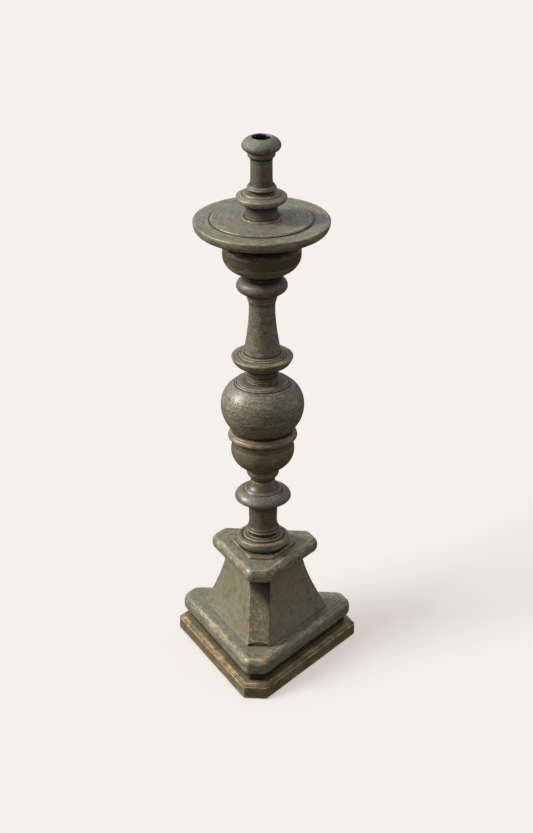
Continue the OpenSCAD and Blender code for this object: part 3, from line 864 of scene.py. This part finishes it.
def bare_wood():
    """Unpainted softwood, grain upright."""
    s = Shader("bare_wood")
    grain = s.noise(s.stretched((0.5, 0.5, 0.02)), 1.0, 5, 0.7, 0.6)
    pores = s.noise(s.stretched((2.4, 2.4, 0.12)), 1.0, 3, 0.6)
    base = s.mix(s.span(grain, 0.3, 0.7), srgb(186, 150, 104), srgb(150, 110, 68))
    base = s.mix(s.span(pores, 0.55, 0.75, 0.0, 0.5), base, srgb(112, 78, 46))
    s.plug(s.surface.inputs["Base Color"], base)
    s.plug(s.surface.inputs["Roughness"], s.span(pores, 0.3, 0.7, 0.55, 0.75))
    s.plug(s.surface.inputs["Normal"], s.bump(pores, 0.4, 0.2 * MM))
    return s.material


def steel():
    """Zinc-plated screw steel, lightly marked."""
    s = Shader("steel")
    marks = s.noise(s.stretched((1.6, 1.6, 1.6)), 1.0, 4, 0.6)
    s.plug(s.surface.inputs["Base Color"], s.mix(marks, srgb(150, 148, 142), srgb(186, 184, 178)))
    s.surface.inputs["Metallic"].default_value = 1.0
    s.plug(s.surface.inputs["Roughness"], s.span(marks, 0.3, 0.7, 0.3, 0.5))
    s.plug(s.surface.inputs["Normal"], s.bump(marks, 0.2, 0.1 * MM))
    return s.material


def felt():
    """Dark pressed felt."""
    s = Shader("felt")
    fibre = s.noise(s.stretched((3.0, 3.0, 3.0)), 1.0, 5, 0.75, 1.2)
    tone = s.noise(s.stretched((0.2, 0.2, 0.2)), 1.0, 3, 0.6)
    base = s.mix(s.span(fibre, 0.3, 0.7), srgb(38, 38, 34), srgb(66, 65, 58))
    base = s.mix(s.span(tone, 0.4, 0.7, 0.0, 0.4), base, srgb(52, 47, 38))
    s.plug(s.surface.inputs["Base Color"], base)
    s.plug(s.surface.inputs["Roughness"], s.span(fibre, 0.3, 0.7, 0.88, 1.0))
    s.surface.inputs["Sheen Weight"].default_value = 0.3
    s.plug(s.surface.inputs["Normal"], s.bump(fibre, 0.8, 0.3 * MM))
    return s.material


def blackened():
    """Blackened sheet metal, scuffed by candles."""
    s = Shader("blackened")
    scuff = s.noise(s.stretched((0.5, 0.5, 0.05)), 1.0, 5, 0.7)
    soot = s.noise(s.stretched((0.12, 0.12, 0.12)), 1.0, 4, 0.6)
    base = s.mix(s.span(scuff, 0.45, 0.75), srgb(34, 40, 50), srgb(78, 86, 98))
    base = s.mix(s.span(soot, 0.4, 0.7, 0.0, 0.7), base, srgb(22, 23, 26))
    s.plug(s.surface.inputs["Base Color"], base)
    s.surface.inputs["Metallic"].default_value = 0.7
    s.plug(s.surface.inputs["Roughness"], s.span(scuff, 0.3, 0.7, 0.32, 0.5))
    s.plug(s.surface.inputs["Normal"], s.bump(scuff, 0.3, 0.15 * MM))
    return s.material


def pale_floor():
    """Plain pale sweep: most of its light is its own, so its tone is even and its shadows soft."""
    s = Shader("pale_floor")
    s.surface.inputs["Base Color"].default_value = (FLOOR_GREY, FLOOR_GREY, FLOOR_GREY, 1)
    s.surface.inputs["Roughness"].default_value = 1.0
    s.surface.inputs["Specular IOR Level"].default_value = 0.0
    s.surface.inputs["Emission Color"].default_value = (*FLOOR_GLOW, 1)
    s.surface.inputs["Emission Strength"].default_value = 1.0
    return s.material


# ---------------------------------------------------------------- the candlestick

COLUMN = column_outline()
# The direction in degrees that each wall and each corner of the pedestal faces
SIDE_WAYS = {"left": 210, "right": 330, "back": 90}
CORNER_WAYS = {"front": -90, "right": 30, "left": 150}


def build_base():
    brushed = (0.02, 0.3, 0.3)
    # the boards' roundings get the strongest pale strokes: wear and a painted highlight
    stone = painted("paint_boards", brushed, brown=0.3, patches=0.35, khaki=0.55, gloss=0.95,
                    contrast=1.25, rubbed_and_sheen=0.75, edges="grain")
    low = painted("paint_plinth", brushed, brown=1.0, wear=1.0, patches=0.5, shade=0.95,
                  khaki=1.0, edges="grain")
    # the spacer is painted near-black: it stands for the shade in the gap under the slab
    spacer_shade = painted("painted_shade_spacer", brushed, wear=0.1, patches=0.0, shade=0.08, edges="grain")
    pad_coat = painted("paint_pad", brushed, brown=0.6, wear=0.72, patches=0.3, shade=0.85,
                       edges="grain")
    board("felt", "felt_sheet", felt(), 3, 3 * MM, 0, 0.3 * MM)
    board("plinth_board", "plinth", low, 5, 4.5 * MM, 26)
    # painted shade all over the spacer
    board("spacer", "spacer_board", spacer_shade, 7, 1.2 * MM, 4, sheltered=1.0)
    board("slab", "lower_slab", stone, 9, 10 * MM, 18)
    board("cap_slab", "upper_slab", stone, 11, 9 * MM, 12)
    # painted shade on the pad under the foot's ring
    board("thin_pad", "column_pad", pad_coat, 13, 1.2 * MM, 6, beneath=32 * MM)
    for way, direction in SIDE_WAYS.items():
        flat = painted(f"paint_panel_{way}", (0.09, 0.09, 0.07), brown=0.3, patches=0.35,
                       khaki=0.75, contrast=0.75, shade=1.03)
        panel(f"panel_{way}", f"side_panel_{way}", direction, flat, 17 + direction)
    for way, direction in CORNER_WAYS.items():
        flat = painted(f"paint_strip_{way}", (0.3, 0.3, 0.05), brown=0.6, patches=0.3,
                       khaki=0.6, facing=direction)
        corner_strip(f"strip_{way}", f"corner_strip_{way}", direction, flat, 211 + direction)


def build_column():
    """The turned pieces from the foot up. For each: its CAD node, how many chips, its darker zone
    (painted shade on most pieces, a stain on the stem) and how its paint differs."""
    pieces = {
        # the foot's zone: painted shade under its big ring
        "foot": ("foot_turning", 10, (-1.0, 0.3, 0.1, 1.0),
                 {"brown": 0.5, "patches": 0.3, "wear": 0.8, "shade": 0.95}),
        # the stem's zone: the shaft's brown stain
        "stem": ("stem_turning", 10, (-1.0, 0.6, 0.03, 0.6),
                 {"brown": 0.35, "patches": 0.7, "gloss": 1.2, "khaki": 0.15, "wear": 0.8,
                  "rubbed_and_sheen": 0.15, "shade": 0.85}),
        # the lower cup's zone: painted shade on the neck at its foot
        "cup_lower": ("lower_cup", 10, (-1.0, 0.22, 0.04, 0.85),
                      {"brown": 0.8, "patches": 0.4, "grime_and_shade": 0.25, "khaki": 0.7, "wear": 0.8,
                       "shade": 0.92}),
        # the ball's zone: browner and darker towards the bottom
        "ball_turned": ("ball", 4, (-1.0, 0.44, 0.3, 0.2),
                        {"brown": 0.35, "patches": 0.7, "khaki": 0.4, "wear": 0.7,
                         "contrast": 1.45, "shade": 1.04}),
        "trumpet_shaft": ("trumpet", 10, None,
                          {"brown": 0.5, "patches": 0.5, "contrast": 1.5, "khaki": 0.35,
                           "wear": 0.8}),
        # the upper knop's zone: painted shade over its upper half
        "knop_upper": ("upper_knop", 6, (0.5, 2.0, 0.3, 0.6),
                       {"brown": 0.4, "patches": 0.3, "shade": 0.8, "khaki": 0.2, "gloss": 0.75,
                        "rubbed_and_sheen": 0.2}),
        # the bowl's zone: painted shadow of the drip plate over its upper half
        "bowl_turned": ("bowl", 10, (0.49, 2.0, 0.03, 1.0),
                        {"brown": 0.3, "patches": 0.4, "khaki": 0.8, "gloss": 0.8}),
        "plate": ("drip_plate", 26, None,
                  {"brown": 0.1, "patches": 0.4, "wear": 0.85, "contrast": 1.15}),
        "disc": ("cup_disc", 12, None, {"brown": 0.3, "patches": 0.3, "wear": 0.85}),
        # the candle cup's zone: painted shade on the neck ring under its rim
        "cup": ("candle_cup", 14, (0.6, 0.76, 0.05, 0.5),
                {"brown": 0.3, "patches": 0.3, "shade": 0.83, "khaki": 0.1, "wear": 0.85,
                 "rubbed_and_sheen": 0.2, "gloss": 0.6}),
    }
    for seed, (name, (node, chips, zone, looks)) in enumerate(pieces.items(), 31):
        coat = painted(f"paint_{name}", edges="grain", **looks)
        turned(name, node, coat, seed, chips, zone=zone)
    turned("liner", "socket_liner", blackened(), 57, 0, 0.12 * MM)


def coat_hidden():
    """The screws, blocks and wedge inside keep their CAD shape and get their own materials."""
    metal, timber = steel(), bare_wood()
    for node in ("plinth_screws", "slab_screws", "cap_screws"):
        NODES[node].data.materials[0] = metal
    for node in ("corner_blocks", "tenon_wedge"):
        NODES[node].data.materials[0] = timber


build_base()
build_column()
coat_hidden()

# ---------------------------------------------------------------- floor, light, camera

FLOOR_GREY = 0.34
FLOOR_GLOW = (0.517, 0.481, 0.437)
FLOOR_SUN = 6.0  # the light that casts the soft shadow on the sweep
FLOOR_REACH = 14.0
SKY = (0.95, 0.985, 1.0)  # cool soft light from above
SKY_STRENGTH = 0.48
GROUND_LIGHT = (1.0, 0.82, 0.55)  # and a little warm light from below
GROUND_STRENGTH = 0.12


def add_floor():
    mesh = bpy.data.meshes.new("floor")
    r = FLOOR_REACH
    mesh.from_pydata([(-r, -r, 0), (r, -r, 0), (r, r, 0), (-r, r, 0)], [], [(0, 1, 2, 3)])
    floor = bpy.data.objects.new("floor", mesh)
    bpy.context.scene.collection.objects.link(floor)
    floor.data.materials.append(pale_floor())
    floor.visible_diffuse = False  # the sweep doesn't light the piece from below
    floor.visible_glossy = False
    return floor


def add_sun(name, towards, strength, spread, colour, lit=None, unlit=None):
    """Soft light from far away, from the direction it is seen in. It can be kept to one object or
    kept off one, as a flag on a stand would."""
    data = bpy.data.lights.new(name, "SUN")
    data.energy = strength
    data.color = colour
    data.angle = math.radians(spread)
    lamp = bpy.data.objects.new(name, data)
    lamp.rotation_euler = Vector(towards).to_track_quat("Z", "Y").to_euler()
    bpy.context.scene.collection.objects.link(lamp)
    shaded = lit or unlit
    if shaded:
        group = bpy.data.collections.new(f"{name}_reach")
        group.objects.link(shaded)
        group.collection_objects[0].light_linking.link_state = "INCLUDE" if lit else "EXCLUDE"
        lamp.light_linking.receiver_collection = group


def add_lights(floor):
    world = bpy.data.worlds.new("studio")
    bpy.context.scene.world = world
    world.use_nodes = True
    tree = world.node_tree
    background = tree.nodes["Background"]
    way = tree.nodes.new("ShaderNodeTexCoord")
    parts = tree.nodes.new("ShaderNodeSeparateXYZ")
    tree.links.new(way.outputs["Generated"], parts.inputs["Vector"])
    rise = tree.nodes.new("ShaderNodeMapRange")
    rise.interpolation_type = "SMOOTHSTEP"
    tree.links.new(parts.outputs["Z"], rise.inputs["Value"])
    rise.inputs["From Min"].default_value = -0.12
    rise.inputs["From Max"].default_value = 0.3
    tone = tree.nodes.new("ShaderNodeMix")
    tone.data_type = "RGBA"
    colours = [s for s in tone.inputs if s.type == "RGBA"]
    colours[0].default_value = (*(c * GROUND_STRENGTH for c in GROUND_LIGHT), 1)
    colours[1].default_value = (*(c * SKY_STRENGTH for c in SKY), 1)
    tree.links.new(rise.outputs["Result"], tone.inputs["Factor"])
    result = [s for s in tone.outputs if s.type == "RGBA"][0]
    tree.links.new(result, background.inputs["Color"])
    background.inputs["Strength"].default_value = 1.0
    add_sun("key", (-0.84, -0.06, 0.56), 4.2, 14, (1.0, 0.995, 0.98), unlit=floor)
    add_sun("top", (-0.50, 0.30, 0.80), 0.7, 40, (0.92, 0.97, 1.0), unlit=floor)
    add_sun("wide", (-0.75, -0.55, 0.45), 0.5, 60, (1.0, 0.98, 0.95), unlit=floor)
    add_sun("rim", (0.92, 0.20, 0.25), 0.25, 50, (0.97, 0.98, 1.0), unlit=floor)
    add_sun("sweep", (-0.84, -0.545, 0.40), FLOOR_SUN, 36, (1.0, 1.0, 1.0), lit=floor)


VIEW_TURN = math.radians(5.1)  # the base's front corner points a little right of the camera
VIEW_DISTANCE = 2.850
VIEW_HEIGHT = 1.655
VIEW_DOWN = 0.4398  # radians below level
VIEW_LEFT_RIGHT = 0.0016
VIEW_ROLL = -0.004
VIEW_LENS = 116.73


def add_camera():
    """A long lens at a standing person's eye height, looking down about 25 degrees."""
    data = bpy.data.cameras.new("camera")
    data.lens = VIEW_LENS
    data.sensor_width = 36
    data.clip_end = 60
    camera = bpy.data.objects.new("camera", data)
    bpy.context.scene.collection.objects.link(camera)
    ahead = Vector((
        math.sin(VIEW_LEFT_RIGHT) * math.cos(VIEW_DOWN),
        math.cos(VIEW_LEFT_RIGHT) * math.cos(VIEW_DOWN),
        -math.sin(VIEW_DOWN),
    ))
    right = Vector((math.cos(VIEW_LEFT_RIGHT), -math.sin(VIEW_LEFT_RIGHT), 0))
    up = right.cross(ahead)
    tilted_right = right * math.cos(VIEW_ROLL) + up * math.sin(VIEW_ROLL)
    tilted_up = up * math.cos(VIEW_ROLL) - right * math.sin(VIEW_ROLL)
    facing = Matrix((tilted_right, tilted_up, -ahead)).transposed().to_4x4()
    spin = Matrix.Rotation(VIEW_TURN, 4, "Z")
    camera.matrix_world = spin @ Matrix.Translation((0, -VIEW_DISTANCE, VIEW_HEIGHT)) @ facing
    bpy.context.scene.camera = camera


add_lights(add_floor())
add_camera()
bpy.context.scene.view_settings.view_transform = "Standard"

bpy.context.view_layer.update()
